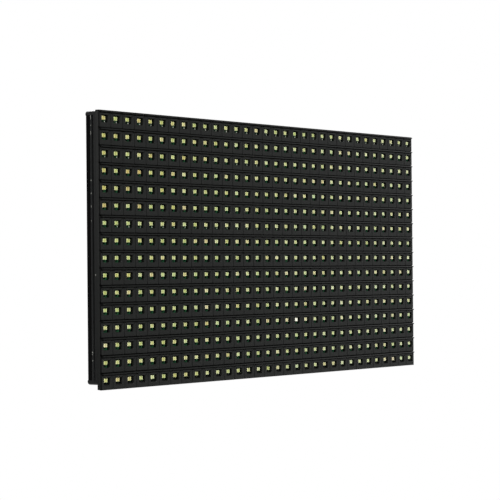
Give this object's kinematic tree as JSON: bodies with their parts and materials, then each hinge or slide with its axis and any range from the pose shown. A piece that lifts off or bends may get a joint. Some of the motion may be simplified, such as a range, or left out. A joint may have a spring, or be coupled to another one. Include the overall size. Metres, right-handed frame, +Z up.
{
  "type": "led display module",
  "caption": "Flat rectangular display tile: a louvred black mask over a grid of surface-mount LEDs on a circuit board, a ribbed rear frame, threaded inserts, data headers and a power socket.",
  "frame": {"origin": "centre of the threaded inserts, on the rear seating plane of the frame", "axes": "+X to the right seen from the front, +Y out of the back of the module, +Z up; the LEDs face -Y"},
  "size_m": [0.3198, 0.0153, 0.1598],
  "materials": {
    "mask_plastic": "fine moulded texture",
    "board": "solder mask",
    "led_package": "resin window in a moulded rim",
    "frame_plastic": "fine moulded texture",
    "insert_brass": "turned",
    "screw_steel": "zinc plated",
    "header_plastic": "moulded",
    "gold_pin": "gold plated",
    "socket_nylon": "moulded",
    "tin_lead": "tinned",
    "chip_epoxy": "moulded",
    "can_aluminium": "drawn",
    "ceramic": "fired"
  },
  "bodies": {
    "root": {"front_mask": "mask_plastic", "circuit_board": "board", "led_row_01": "led_package", "led_row_02": "led_package", "led_row_03": "led_package", "led_row_04": "led_package", "led_row_05": "led_package", "led_row_06": "led_package", "led_row_07": "led_package", "led_row_08": "led_package", "led_row_09": "led_package", "led_row_10": "led_package", "led_row_11": "led_package", "led_row_12": "led_package", "led_row_13": "led_package", "led_row_14": "led_package", "led_row_15": "led_package", "led_row_16": "led_package", "rear_frame": "frame_plastic", "threaded_inserts": "insert_brass", "clamping_screws": "screw_steel", "data_in_shroud": "header_plastic", "data_in_pins": "gold_pin", "data_out_shroud": "header_plastic", "data_out_pins": "gold_pin", "power_socket": "socket_nylon", "power_pins": "tin_lead", "driver_chips": "chip_epoxy", "buffer_chips": "chip_epoxy", "decoder_chip": "chip_epoxy", "switch_chips": "chip_epoxy", "chip_leads": "tin_lead", "capacitor_bases": "header_plastic", "capacitor_cans": "can_aluminium", "bypass_capacitors": "ceramic", "setting_resistors": "chip_epoxy", "resistor_arrays": "chip_epoxy"}
  },
  "joints": []
}
